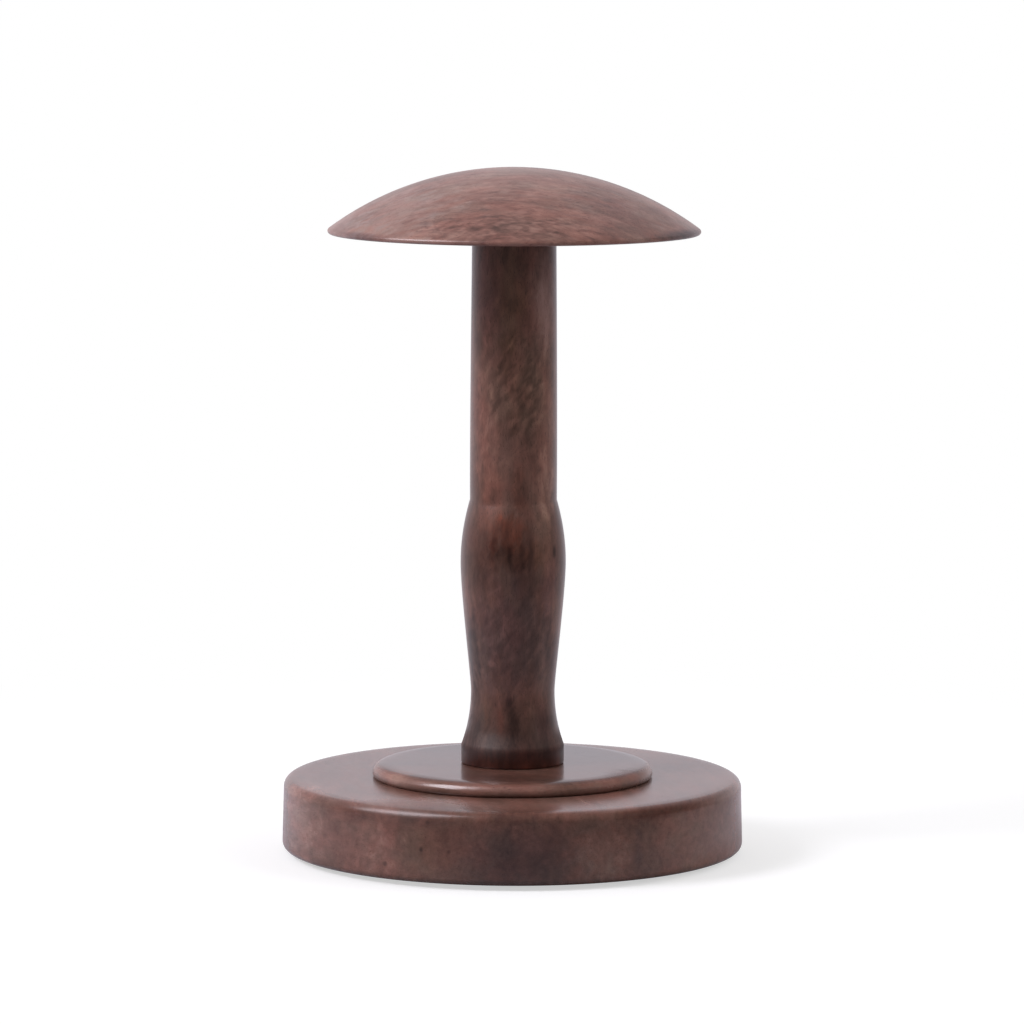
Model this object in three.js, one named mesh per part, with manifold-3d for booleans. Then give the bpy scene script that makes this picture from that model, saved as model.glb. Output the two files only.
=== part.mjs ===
// Hat display stand in turned wood: a domed cap on a tall post, on a stepped round base.
// Millimetres, +Z up. The origin is the middle of the stand, on the table.
import * as THREE from 'three';
import { mergeVertices } from 'three/addons/utils/BufferGeometryUtils.js';
import Module from 'manifold-3d';

const wasm = await Module();
wasm.setup();

// Base disc, whose side leans in a little towards its top
const BASE_RADIUS = 100;
const BASE_THICKNESS = 31;
const BASE_LEAN = 0.6;
const BASE_TOP_ROUND = 4;
const BASE_BOTTOM_ROUND = 3;

// Step disc that is glued on the base, with a full round edge over a small undercut
const STEP_RADIUS = 60.8;
const STEP_THICKNESS = 6;
const STEP_UNDER_ROUND = 1.4;
const STEP_TOP_ROUND = STEP_THICKNESS - STEP_UNDER_ROUND;

// Post, from the foot up: straight band, cove to the waist, rise to the swell, fall to the turned
// shoulder, tapering shaft
const FOOT_RADIUS = 22.3;
const FOOT_ROUND = 0.8;
const BAND_LENGTH = 8;
const WAIST_RADIUS = 18.15;
const COVE_LENGTH = 23.7;
const SWELL_RADIUS = 22.8;
const RISE_LENGTH = 56.1;
const SHOULDER_RADIUS = 18.8;
const FALL_LENGTH = 27.2;
const TOP_RADIUS = 18.15;
const SHAFT_LENGTH = 115;
const SHAFT_BELLY = 0.2;
const POST_LENGTH = BAND_LENGTH + COVE_LENGTH + RISE_LENGTH + FALL_LENGTH + SHAFT_LENGTH;

// Cap, a shallow dome with a flat underside and a thin round rim
const CAP_RADIUS = 80.4;
const CAP_THICKNESS = 28.5;
const RIM_ROUND = 1.2;
const SEAT_FLAT_RADIUS = 5;

// Felt pads under the base
const PAD_COUNT = 4;
const PAD_RADIUS = 10;
const PAD_THICKNESS = 2;
const PAD_INSET = 15;
const PAD_EDGE_ROUND = 0.5;

// Screw thread shared by the bolt, the stud and both inserts, kept plain at its core radius
const SCREW_RADIUS = 4;
const THREAD_DEPTH = 0.6;
const THREAD_CHAMFER = 0.8;
const THREAD_RADIUS = SCREW_RADIUS - THREAD_DEPTH;

// Socket-head bolt that pulls the base against the post
const HEAD_RADIUS = 6.5;
const HEAD_HEIGHT = 8;
const HEAD_CHAMFER = 0.6;
const HEAD_RECESS = 1;
const HEX_KEY = 6;
const HEX_DEPTH = 4;
const SHANK_LENGTH = 17;
const BOLT_ENGAGEMENT = 17;

// Washers under the bolt's head
const WASHER_RADIUS = 12;
const WASHER_THICKNESS = 2;
const SPRING_WASHER_RADIUS = 7;
const SPRING_WASHER_THICKNESS = 2;
const SPRING_SPLIT = 1;

// Threaded inserts in the post's foot and under the cap
const INSERT_WALL = 2.5;
const INSERT_FLANGE_WIDTH = 1.4;
const INSERT_FLANGE_THICKNESS = 1;
const INSERT_SINK = 0.3;
const INSERT_DRIVE = 8;
const INSERT_DRIVE_DEPTH = 2.5;
const POST_INSERT_LENGTH = 20;
const CAP_INSERT_LENGTH = 16;

// Stud between the post and the cap
const STUD_POST_LENGTH = 30;
const STUD_CAP_LENGTH = 13;
const STUD_POINT = 5;

// Clearances and drilling
const FIT_GAP = 0.3;
const BOLT_HOLE_GAP = 0.5;
const COUNTERBORE_GAP = 1;
const DRILL_END_GAP = 2;
const SCREW_BORE_RADIUS = SCREW_RADIUS + FIT_GAP;
const INSERT_BORE_RADIUS = THREAD_RADIUS + FIT_GAP;
const INSERT_RADIUS = INSERT_BORE_RADIUS + INSERT_WALL;
const INSERT_FLANGE_RADIUS = INSERT_RADIUS + INSERT_FLANGE_WIDTH;

// Faces round a piece, and steps along a curve of its outline
const DISC_FACES = 72;
const POST_FACES = 48;
const SMALL_FACES = 24;
const ROUND_STEPS = 5;
const SMALL_ROUND_STEPS = 2;
const DOME_STEPS = 12;
const COVE_STEPS = 5;
const RISE_STEPS = 9;
const FALL_STEPS = 6;
const SHAFT_STEPS = 4;

// Shares of a stretch's height at which the post's curves have their control points
const COVE_SHARE = 0.47;
const WAIST_SHARE = 0.1;
const SWELL_SHARE = 0.24;
const SHOULDER_SHARE = 0.49;
const BELLY_SHARE = 0.25;

// Heights of the seats, from the table up
const BASE_Z = PAD_THICKNESS;
const STEP_Z = BASE_Z + BASE_THICKNESS;
const POST_Z = STEP_Z + STEP_THICKNESS;
const CAP_Z = POST_Z + POST_LENGTH;

// The bolt's stack, from the head up
const BOLT_HOLE_RADIUS = SCREW_RADIUS + BOLT_HOLE_GAP;
const COUNTERBORE_RADIUS = WASHER_RADIUS + COUNTERBORE_GAP;
const COUNTERBORE_DEPTH = HEAD_RECESS + HEAD_HEIGHT + SPRING_WASHER_THICKNESS + WASHER_THICKNESS;
const BOLT_LENGTH = WASHER_THICKNESS + SPRING_WASHER_THICKNESS + BASE_THICKNESS - COUNTERBORE_DEPTH
  + STEP_THICKNESS + BOLT_ENGAGEMENT;

const DOWN = -Math.PI / 2;
const UP = Math.PI / 2;

const WALNUT_BASE = { color: 0x634a43, roughness: 0.42, metalness: 0 };
const WALNUT_STEP = { color: 0x6a4d44, roughness: 0.42, metalness: 0 };
const WALNUT_POST = { color: 0x583d36, roughness: 0.4, metalness: 0 };
const WALNUT_CAP = { color: 0x8a675c, roughness: 0.48, metalness: 0 };
const ZINC_STEEL = { color: 0xb4b8bb, roughness: 0.35, metalness: 1 };
const BRASS = { color: 0xc2a15c, roughness: 0.4, metalness: 1 };
const DARK_FELT = { color: 0x2e2826, roughness: 0.95, metalness: 0 };

const point = (radius, height) => new THREE.Vector2(radius, height);

// A round corner of an outline, turning from one direction to the other about its centre.
function corner(radius, height, round, from, to, steps = ROUND_STEPS) {
  const arc = new THREE.EllipseCurve(radius, height, round, round, from, to, to < from);
  return arc.getPoints(steps);
}

// A smooth stretch of an outline through its two ends, drawn towards its middle points.
function sweep(points, steps) {
  const curve = points.length === 3
    ? new THREE.QuadraticBezierCurve(...points)
    : new THREE.CubicBezierCurve(...points);
  return curve.getPoints(steps);
}

// A piece turned about Z. The outline runs from the bottom, up its outer side and back.
function turned(outline, faces) {
  const apart = outline.filter((p, i) => i === 0 || p.distanceTo(outline[i - 1]) > Number.EPSILON);
  return new THREE.LatheGeometry(apart, faces).rotateX(Math.PI / 2);
}

// A six-sided bar standing on a height, by its width across the flats.
function hexBar(acrossFlats, bottom, length) {
  const sides = 6;
  const radius = acrossFlats / 2 / Math.cos(Math.PI / sides);
  return new THREE.CylinderGeometry(radius, radius, length, sides)
    .rotateX(Math.PI / 2)
    .translate(0, 0, bottom + length / 2);
}

function toSolid(geometry) {
  const bare = geometry.clone();
  bare.deleteAttribute('normal');
  bare.deleteAttribute('uv');
  const merged = mergeVertices(bare);
  return new wasm.Manifold(new wasm.Mesh({
    numProp: 3,
    vertProperties: merged.attributes.position.array,
    triVerts: new Uint32Array(merged.index.array),
  }));
}

function toGeometry(solid) {
  const mesh = solid.getMesh();
  const geometry = new THREE.BufferGeometry();
  geometry.setAttribute('position', new THREE.BufferAttribute(mesh.vertProperties, mesh.numProp));
  geometry.setIndex(new THREE.BufferAttribute(mesh.triVerts, 1));
  geometry.computeVertexNormals();
  return geometry;
}

function cut(geometry, tool) {
  return toGeometry(toSolid(geometry).subtract(toSolid(tool)));
}

function piece(name, geometry, look, height = 0) {
  const mesh = new THREE.Mesh(geometry, new THREE.MeshStandardMaterial(look));
  mesh.name = name;
  mesh.position.z = height;
  return mesh;
}

// The disc has a bolt hole through its middle and a counterbore from below for the bolt's head.
function baseDisc() {
  const topRadius = BASE_RADIUS - BASE_LEAN;
  return turned([
    point(COUNTERBORE_RADIUS, 0),
    ...corner(BASE_RADIUS - BASE_BOTTOM_ROUND, BASE_BOTTOM_ROUND, BASE_BOTTOM_ROUND, DOWN, 0),
    ...corner(topRadius - BASE_TOP_ROUND, BASE_THICKNESS - BASE_TOP_ROUND, BASE_TOP_ROUND, 0, UP),
    point(BOLT_HOLE_RADIUS, BASE_THICKNESS),
    point(BOLT_HOLE_RADIUS, COUNTERBORE_DEPTH),
    point(COUNTERBORE_RADIUS, COUNTERBORE_DEPTH),
    point(COUNTERBORE_RADIUS, 0),
  ], DISC_FACES);
}

function baseStep() {
  const underCentre = STEP_RADIUS - STEP_UNDER_ROUND;
  const topCentre = STEP_RADIUS - STEP_TOP_ROUND;
  return turned([
    point(BOLT_HOLE_RADIUS, 0),
    ...corner(underCentre, STEP_UNDER_ROUND, STEP_UNDER_ROUND, DOWN, 0, SMALL_ROUND_STEPS),
    ...corner(topCentre, STEP_THICKNESS - STEP_TOP_ROUND, STEP_TOP_ROUND, 0, UP),
    point(BOLT_HOLE_RADIUS, STEP_THICKNESS),
    point(BOLT_HOLE_RADIUS, 0),
  ], DISC_FACES);
}

// A blind hole from below for an insert and its flange, from the hole's end down to its mouth. It
// goes past the insert and past the screw in it, whichever is longer.
function insertHole(insertLength, screwLength) {
  const bore = INSERT_RADIUS + FIT_GAP;
  const mouth = INSERT_FLANGE_RADIUS + FIT_GAP;
  const ledge = INSERT_SINK + INSERT_FLANGE_THICKNESS;
  const end = Math.max(INSERT_SINK + insertLength, screwLength) + DRILL_END_GAP;
  return [point(0, end), point(bore, end), point(bore, ledge), point(mouth, ledge), point(mouth, 0)];
}

// The post's outer side, from the foot's edge to the top.
function postSide() {
  const waist = BAND_LENGTH + COVE_LENGTH;
  const swell = waist + RISE_LENGTH;
  const shoulder = swell + FALL_LENGTH;
  return [
    ...corner(FOOT_RADIUS - FOOT_ROUND, FOOT_ROUND, FOOT_ROUND, DOWN, 0, SMALL_ROUND_STEPS),
    ...sweep([
      point(FOOT_RADIUS, BAND_LENGTH),
      point(WAIST_RADIUS, BAND_LENGTH + COVE_SHARE * COVE_LENGTH),
      point(WAIST_RADIUS, waist),
    ], COVE_STEPS),
    ...sweep([
      point(WAIST_RADIUS, waist),
      point(WAIST_RADIUS, waist + WAIST_SHARE * RISE_LENGTH),
      point(SWELL_RADIUS, swell - SWELL_SHARE * RISE_LENGTH),
      point(SWELL_RADIUS, swell),
    ], RISE_STEPS),
    ...sweep([
      point(SWELL_RADIUS, swell),
      point(SWELL_RADIUS, swell + SHOULDER_SHARE * FALL_LENGTH),
      point(SHOULDER_RADIUS, shoulder),
    ], FALL_STEPS),
    ...sweep([
      point(SHOULDER_RADIUS, shoulder),
      point(SHOULDER_RADIUS + SHAFT_BELLY, shoulder + BELLY_SHARE * SHAFT_LENGTH),
      point(TOP_RADIUS, POST_LENGTH),
    ], SHAFT_STEPS),
  ];
}

// The post is drilled from below for its insert and from above for the stud.
function post() {
  const studEnd = POST_LENGTH - STUD_POST_LENGTH - DRILL_END_GAP;
  return turned([
    ...insertHole(POST_INSERT_LENGTH, BOLT_ENGAGEMENT),
    ...postSide(),
    point(SCREW_BORE_RADIUS, POST_LENGTH),
    point(SCREW_BORE_RADIUS, studEnd),
    point(0, studEnd),
  ], POST_FACES);
}

// The dome's radius follows from the cap's width and thickness and its rim, which it meets smoothly.
function cap() {
  const rimCentre = CAP_RADIUS - RIM_ROUND;
  const rise = CAP_THICKNESS - RIM_ROUND;
  const domeRadius = (rimCentre ** 2 + rise ** 2 - RIM_ROUND ** 2) / (rise - RIM_ROUND) / 2;
  const domeCentre = CAP_THICKNESS - domeRadius;
  const meeting = Math.atan2(RIM_ROUND - domeCentre, rimCentre);
  const flatAngle = Math.acos(SEAT_FLAT_RADIUS / domeRadius);
  return turned([
    ...insertHole(CAP_INSERT_LENGTH, STUD_CAP_LENGTH),
    ...corner(rimCentre, RIM_ROUND, RIM_ROUND, DOWN, meeting),
    ...corner(0, domeCentre, domeRadius, meeting, flatAngle, DOME_STEPS),
    point(0, domeCentre + domeRadius * Math.sin(flatAngle)),
  ], DISC_FACES);
}

function feltPad() {
  const middle = PAD_RADIUS - PAD_EDGE_ROUND;
  return turned([
    point(0, 0),
    ...corner(middle, PAD_EDGE_ROUND, PAD_EDGE_ROUND, DOWN, 0, SMALL_ROUND_STEPS),
    point(PAD_RADIUS, PAD_THICKNESS),
    point(0, PAD_THICKNESS),
  ], SMALL_FACES);
}

// The bolt stands on its head: head, plain shank, thread.
function socketBolt() {
  const shankEnd = HEAD_HEIGHT + SHANK_LENGTH;
  const tip = HEAD_HEIGHT + BOLT_LENGTH;
  const body = turned([
    point(0, 0),
    point(HEAD_RADIUS - HEAD_CHAMFER, 0),
    point(HEAD_RADIUS, HEAD_CHAMFER),
    point(HEAD_RADIUS, HEAD_HEIGHT),
    point(SCREW_RADIUS, HEAD_HEIGHT),
    point(SCREW_RADIUS, shankEnd),
    point(THREAD_RADIUS, shankEnd),
    point(THREAD_RADIUS, tip - THREAD_CHAMFER),
    point(THREAD_RADIUS - THREAD_CHAMFER, tip),
    point(0, tip),
  ], SMALL_FACES);
  return cut(body, hexBar(HEX_KEY, -HEX_DEPTH, HEX_DEPTH * 2));
}

function flatWasher() {
  return turned([
    point(SCREW_BORE_RADIUS, 0),
    point(WASHER_RADIUS, 0),
    point(WASHER_RADIUS, WASHER_THICKNESS),
    point(SCREW_BORE_RADIUS, WASHER_THICKNESS),
    point(SCREW_BORE_RADIUS, 0),
  ], SMALL_FACES);
}

// A ring that is split on one side.
function springWasher() {
  const outerSplit = Math.asin(SPRING_SPLIT / 2 / SPRING_WASHER_RADIUS);
  const innerSplit = Math.asin(SPRING_SPLIT / 2 / SCREW_BORE_RADIUS);
  const fullTurn = Math.PI * 2;
  const ring = new THREE.Shape();
  ring.absarc(0, 0, SPRING_WASHER_RADIUS, outerSplit, fullTurn - outerSplit, false);
  ring.absarc(0, 0, SCREW_BORE_RADIUS, fullTurn - innerSplit, innerSplit, true);
  ring.closePath();
  return new THREE.ExtrudeGeometry(ring, {
    depth: SPRING_WASHER_THICKNESS,
    bevelEnabled: false,
    curveSegments: SMALL_FACES / 2,
  });
}

// A flanged sleeve with its flange down and a hexagon in its mouth to drive it in.
function threadedInsert(length) {
  const sleeve = turned([
    point(INSERT_BORE_RADIUS, 0),
    point(INSERT_FLANGE_RADIUS, 0),
    point(INSERT_FLANGE_RADIUS, INSERT_FLANGE_THICKNESS),
    point(INSERT_RADIUS, INSERT_FLANGE_THICKNESS),
    point(INSERT_RADIUS, length),
    point(INSERT_BORE_RADIUS, length),
    point(INSERT_BORE_RADIUS, 0),
  ], SMALL_FACES);
  return cut(sleeve, hexBar(INSERT_DRIVE, -INSERT_DRIVE_DEPTH, INSERT_DRIVE_DEPTH * 2));
}

// The stud stands with its point down in the post and its plain end up in the cap's insert.
function capStud() {
  const pointEnd = -STUD_POST_LENGTH;
  return turned([
    point(0, pointEnd),
    point(SCREW_RADIUS, pointEnd + STUD_POINT),
    point(SCREW_RADIUS, 0),
    point(THREAD_RADIUS, 0),
    point(THREAD_RADIUS, STUD_CAP_LENGTH - THREAD_CHAMFER),
    point(THREAD_RADIUS - THREAD_CHAMFER, STUD_CAP_LENGTH),
    point(0, STUD_CAP_LENGTH),
  ], SMALL_FACES);
}

function feltPads() {
  const pads = new THREE.Group();
  const circle = BASE_RADIUS - PAD_INSET - PAD_RADIUS;
  for (let i = 0; i < PAD_COUNT; i += 1) {
    const angle = (i + 1 / 2) * Math.PI * 2 / PAD_COUNT;
    const pad = piece(`felt_pad_${i + 1}`, feltPad(), DARK_FELT);
    pad.position.set(circle * Math.cos(angle), circle * Math.sin(angle), 0);
    pads.add(pad);
  }
  return pads;
}

// Bolt and washers, from the head in its counterbore up to the floor that the washer presses on.
function baseFixing() {
  const fixing = new THREE.Group();
  const head = HEAD_RECESS;
  const springWasherSeat = head + HEAD_HEIGHT;
  const washerSeat = springWasherSeat + SPRING_WASHER_THICKNESS;
  fixing.add(piece('base_bolt', socketBolt(), ZINC_STEEL, head));
  fixing.add(piece('spring_washer', springWasher(), ZINC_STEEL, springWasherSeat));
  fixing.add(piece('flat_washer', flatWasher(), ZINC_STEEL, washerSeat));
  return fixing;
}

function baseAssembly() {
  const base = new THREE.Group();
  base.position.z = BASE_Z;
  base.add(piece('base_disc', baseDisc(), WALNUT_BASE));
  base.add(piece('base_step', baseStep(), WALNUT_STEP, BASE_THICKNESS));
  base.add(baseFixing());
  return base;
}

function postAssembly() {
  const column = new THREE.Group();
  column.position.z = POST_Z;
  column.add(piece('post', post(), WALNUT_POST));
  column.add(piece('post_insert', threadedInsert(POST_INSERT_LENGTH), BRASS, INSERT_SINK));
  column.add(piece('cap_stud', capStud(), ZINC_STEEL, POST_LENGTH));
  return column;
}

function capAssembly() {
  const top = new THREE.Group();
  top.position.z = CAP_Z;
  top.add(piece('cap', cap(), WALNUT_CAP));
  top.add(piece('cap_insert', threadedInsert(CAP_INSERT_LENGTH), BRASS, INSERT_SINK));
  return top;
}

const stand = new THREE.Group();
stand.name = 'hat_display_stand';
stand.add(feltPads(), baseAssembly(), postAssembly(), capAssembly());

export default stand;
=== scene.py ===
"""Hat display stand in turned, walnut-stained wood, with its hardware and felt pads, in a white studio."""

import logging
import math
from collections.abc import Callable, Iterable, Mapping, Sequence
from dataclasses import dataclass, field
from enum import Enum
from functools import cache
from itertools import product
from typing import Self

import bmesh
import bpy
from bmesh.types import BMEdge, BMesh, BMVert
from bpy.types import ID, ColorRamp, Material, NodeSocket, NodeTree, Object
from mathutils import Matrix, Vector
from mathutils.geometry import interpolate_bezier

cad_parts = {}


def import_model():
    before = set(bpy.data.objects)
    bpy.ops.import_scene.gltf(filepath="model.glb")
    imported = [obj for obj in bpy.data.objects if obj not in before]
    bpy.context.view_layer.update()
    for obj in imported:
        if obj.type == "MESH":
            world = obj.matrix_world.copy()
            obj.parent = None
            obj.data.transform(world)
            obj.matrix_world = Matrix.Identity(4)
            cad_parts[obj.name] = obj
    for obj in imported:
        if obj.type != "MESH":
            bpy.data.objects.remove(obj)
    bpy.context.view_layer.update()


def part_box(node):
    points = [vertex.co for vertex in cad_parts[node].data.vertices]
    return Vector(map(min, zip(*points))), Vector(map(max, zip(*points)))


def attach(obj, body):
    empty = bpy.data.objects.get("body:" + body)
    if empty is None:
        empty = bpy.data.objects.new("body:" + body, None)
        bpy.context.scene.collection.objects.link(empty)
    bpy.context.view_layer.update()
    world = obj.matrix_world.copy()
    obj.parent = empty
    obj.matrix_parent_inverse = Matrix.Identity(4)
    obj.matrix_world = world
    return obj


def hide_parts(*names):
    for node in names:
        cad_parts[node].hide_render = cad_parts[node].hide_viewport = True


LOG = logging.getLogger("hat_stand")
MM = 0.001
WELD = 1e-7
BODY = "root"
SHARP_CORNER = math.radians(32.0)
NOWHERE = (0.0, 0.0, 0.0)
UP = (0.0, 0.0, 1.0)
LEVEL = (1.0, 1.0, 0.0)

Colour = tuple[float, float, float]


def colour(red: int, green: int, blue: int) -> Colour:
    """Turns a colour as a screen shows it, 0 to 255, into the linear one that shaders take."""
    shares = (value / 255 for value in (red, green, blue))
    return tuple(s / 12.92 if s <= 0.04045 else ((s + 0.055) / 1.055) ** 2.4 for s in shares)


class Grain(Enum):
    """Turn of a piece's own axes, in degrees, that lays its grain along X."""

    ACROSS = (0.0, 0.0, 0.0)
    ASKEW = (0.0, 0.0, 24.0)
    AWAY = (0.0, 0.0, 80.0)
    UPRIGHT = (0.0, 90.0, 0.0)
    LEANING = (0.0, 55.0, 0.0)


class Shows(Enum):
    """What a lamp does: whether it lights surfaces, and whether it shows in gloss."""

    LIGHT = (True, False)
    GLOSS = (False, True)


def operator(operation: str, reflected: bool = False) -> Callable[["Term", "Value"], "Term"]:
    """Makes a method that adds the node for a sum of a socket and another value.

    Args:
        operation: The Math node's name for the sum.
        reflected: Whether the socket is on the right.

    Returns:
        The method.
    """

    def method(term: "Term", other: "Value") -> "Term":
        """Adds the node."""
        return term.shader.combine(operation, *((other, term) if reflected else (term, other)))

    return method


class Term:
    """A socket in a shader's nodes, on which Python's operators add the nodes for their sum."""

    def __init__(self, shader: "Shader", socket: NodeSocket) -> None:
        """Keeps the shader and one of its output sockets."""
        self.shader = shader
        self.socket = socket

    __add__, __radd__ = operator("ADD"), operator("ADD", True)
    __sub__, __rsub__ = operator("SUBTRACT"), operator("SUBTRACT", True)
    __mul__, __rmul__ = operator("MULTIPLY"), operator("MULTIPLY", True)
    __truediv__, __pow__, larger = operator("DIVIDE"), operator("POWER"), operator("MAXIMUM")

    def along(self, direction: Sequence[float]) -> "Term":
        """Gives how far a vector reaches in a direction."""
        return self.shader.node("VectorMath", {"operation": "DOT_PRODUCT"}, {0: self, 1: direction}, "Value")

    def length(self) -> "Term":
        """Gives the length of a vector."""
        return self.shader.node("VectorMath", {"operation": "LENGTH"}, {0: self}, "Value")

    def part(self, axis: str) -> "Term":
        """Gives one part of a vector, X, Y or Z."""
        return self.shader.node("SeparateXYZ", {}, {0: self}, axis)

    def step(self, low: float, high: float) -> "Term":
        """Rises smoothly from 0 at the first value to 1 at the second."""
        sockets = {"Value": self, "From Min": low, "From Max": high, "To Min": 0.0, "To Max": 1.0}
        return self.shader.node("MapRange", {"interpolation_type": "SMOOTHSTEP"}, sockets, "Result")


Value = Term | float | Sequence[float]
Sockets = Mapping[str | int, Value]


class Shader:
    """A node tree, with short ways to add nodes and sums to it."""

    RAYS = ("Camera", "Glossy", "Transmission")

    def __init__(self, tree: NodeTree) -> None:
        """Empties the node tree of a material or a world."""
        self.tree = tree
        self.tree.nodes.clear()

    def node(
        self, kind: str, settings: Mapping[str, object] | None = None, sockets: Sockets | None = None,
        output: str | int = 0,
    ) -> Term | None:
        """Adds a node, sets it up, and then fills its sockets.

        Args:
            kind: The node's type, without the ShaderNode in front.
            settings: The node's own properties, with a ramp's stops under "stops".
            sockets: A value or a link for each input, by its name or number.
            output: Name or number of the output that is wanted.

        Returns:
            That output, or nothing from a node that ends the tree.
        """
        node = self.tree.nodes.new(f"ShaderNode{kind}")
        for key, value in (settings or {}).items():
            if key == "stops":
                self._set_stops(node.color_ramp, value)
            else:
                setattr(node, key, value)
        for key, value in (sockets or {}).items():
            self._fill(self._find(node.inputs, key), value)
        return Term(self, self._find(node.outputs, output)) if node.outputs else None

    @staticmethod
    def _set_stops(ramp: ColorRamp, stops: Sequence[tuple[float, Colour]]) -> None:
        """Gives a ramp its stops.

        Args:
            ramp: The ramp.
            stops: Place and colour of each stop, from left to right.
        """
        while len(ramp.elements) < len(stops):
            ramp.elements.new(1.0)
        for element, (place, tone) in zip(ramp.elements, stops):
            element.position = place
            element.color = (*tone, 1.0)

    @staticmethod
    def _find(sockets: Iterable[NodeSocket], key: str | int) -> NodeSocket:
        """Finds a socket that is in use, by its name or number."""
        usable = [socket for socket in sockets if socket.enabled]
        return usable[key] if isinstance(key, int) else next(s for s in usable if s.name == key)

    def _fill(self, socket: NodeSocket, value: Value) -> None:
        """Links a term to a socket, or sets a plain value on it.

        Args:
            socket: The socket.
            value: The term, number, vector or colour.
        """
        if isinstance(value, Term):
            self.tree.links.new(value.socket, socket)
        else:
            socket.default_value = (*value, 1.0) if socket.type == "RGBA" else value

    def combine(self, operation: str, left: Value, right: Value) -> Term:
        """Adds the node for a sum of two values, vectors or colours.

        Args:
            operation: The Math node's name for the sum.
            left: Left side.
            right: Right side.

        Returns:
            The sum.
        """
        kinds = {v.socket.type for v in (left, right) if isinstance(v, Term)}
        if "RGBA" in kinds:
            sides = {"A": self._full(left), "B": self._full(right), "Factor": 1.0}
            return self.node("Mix", {"data_type": "RGBA", "blend_type": operation}, sides, "Result")
        if "VECTOR" in kinds:
            sides = {0: self._full(left), 1: self._full(right)}
            return self.node("VectorMath", {"operation": operation}, sides, "Vector")
        return self.node("Math", {"operation": operation}, {0: left, 1: right}, "Value")

    @staticmethod
    def _full(value: Value) -> Value:
        """Repeats a plain number, so that it stands beside a vector or a colour."""
        return (value,) * 3 if isinstance(value, (int, float)) else value

    def mix(self, factor: Value, low: Value, high: Value) -> Term:
        """Mixes two colours, or two values where the first is one, by the share of the second."""
        kind = "FLOAT" if isinstance(low, Term) and low.socket.type == "VALUE" else "RGBA"
        return self.node("Mix", {"data_type": kind}, {"Factor": factor, "A": low, "B": high}, "Result")

    def ramp(self, factor: Term, stops: Sequence[tuple[float, Colour]]) -> Term:
        """Turns a value into a colour by the place and colour of each stop."""
        return self.node("ValToRGB", {"stops": stops}, {"Fac": factor}, "Color")

    def here(self) -> Term:
        """Gives the place on a piece, in millimetres."""
        return self.node("TexCoord", output="Object") / MM

    def place(self, grain: Grain, origin: Sequence[float]) -> Term:
        """Gives the place in millimetres, with X along the grain and the pattern's middle at the origin."""
        lay = {"Rotation": [math.radians(a) for a in grain.value], "Location": [-value for value in origin]}
        return self.node("Mapping", {}, {"Vector": self.here()} | lay)

    def bump(self, height: Term, depth: float, strength: float = 1.0) -> Term:
        """Gives the normal of a surface whose height from 0 to 1 stands for a depth in metres."""
        return self.node("Bump", {}, {"Height": height, "Distance": depth, "Strength": strength})

    def surface(self, sockets: Sockets) -> None:
        """Ends the shader in one all-round surface, with a value or link for each of its sockets."""
        self.node("OutputMaterial", {}, {"Surface": self.node("BsdfPrincipled", {}, sockets)})

    def looks(self) -> tuple[Term, Term]:
        """Gives whether the camera sees a thing itself, and whether gloss or glass shows it."""
        seen, *shown = (self.node("LightPath", output=f"Is {ray} Ray") for ray in self.RAYS)
        return seen, shown[0].larger(shown[1])


@dataclass(frozen=True)
class Layer:
    """Cloudy noise that a finish is built up from.

    Attributes:
        size: Size of a cloud, in millimetres.
        squeeze: How many times smaller it is along X, Y and Z.
        detail: Number of finer layers.
        rough: Strength of the finer layers.
        twist: How far the clouds are drawn into curls.
        weight: How strongly it works.
    """

    size: float = 1.0
    squeeze: tuple[float, float, float] = (1.0, 1.0, 1.0)
    detail: float = 2.0
    rough: float = 0.5
    twist: float = 0.0
    weight: float = 1.0

    def share(self, shader: Shader, place: Term) -> Term:
        """Adds the noise, from 0 to 1."""
        look = {"Vector": place * self.squeeze, "Scale": 1.0 / self.size, "Detail": self.detail}
        return shader.node("TexNoise", {}, look | {"Roughness": self.rough, "Distortion": self.twist}, "Fac")

    def wave(self, shader: Shader, place: Term) -> Term:
        """Adds the noise, round 0."""
        return self.share(shader, place) - 0.5


PLAIN = (1.0, 1.0, 1.0)


@dataclass(frozen=True)
class Patch:
    """A soft-edged place on a piece: some where the wood and its stain differ, others that paint light,
    shade and reflection into the colour.

    Attributes:
        centre: Middle, in millimetres, in the piece's own frame.
        reach: Half its size along X, Y and Z, in millimetres.
        tone: How much lighter, above 0, or darker, below 0.
        hue: What the colour is multiplied by.
        figure: How much more of the curly figure shows there.
        matt: How much duller the lacquer is there.
        ragged: How far its edge wavers, as a share of its reach.
        crisp: Share of its reach that is full, before the edge starts.
        END: Share of its reach at which the edge ends.
    """

    centre: tuple[float, ...]
    reach: tuple[float, ...]
    tone: float = 0.0
    hue: Colour = PLAIN
    figure: float = 0.0
    matt: float = 0.0
    ragged: float = 1.6
    crisp: float = 0.2

    END = 1.1

    def away(self, shader: Shader, here: Term) -> Term:
        """Gives how far a place is from the middle, as a share of the reach."""
        sockets = {"Vector": here, "Location": self.centre, "Scale": self.reach}
        return shader.node("Mapping", {"vector_type": "TEXTURE"}, sockets).length()

    def mask(self, shader: Shader, here: Term, waver: Term) -> Term:
        """Gives 1 in the middle, falling to 0 at an edge that wavers with the grain."""
        return 1.0 - (self.away(shader, here) + waver * self.ragged).step(self.crisp, self.END)


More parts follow.
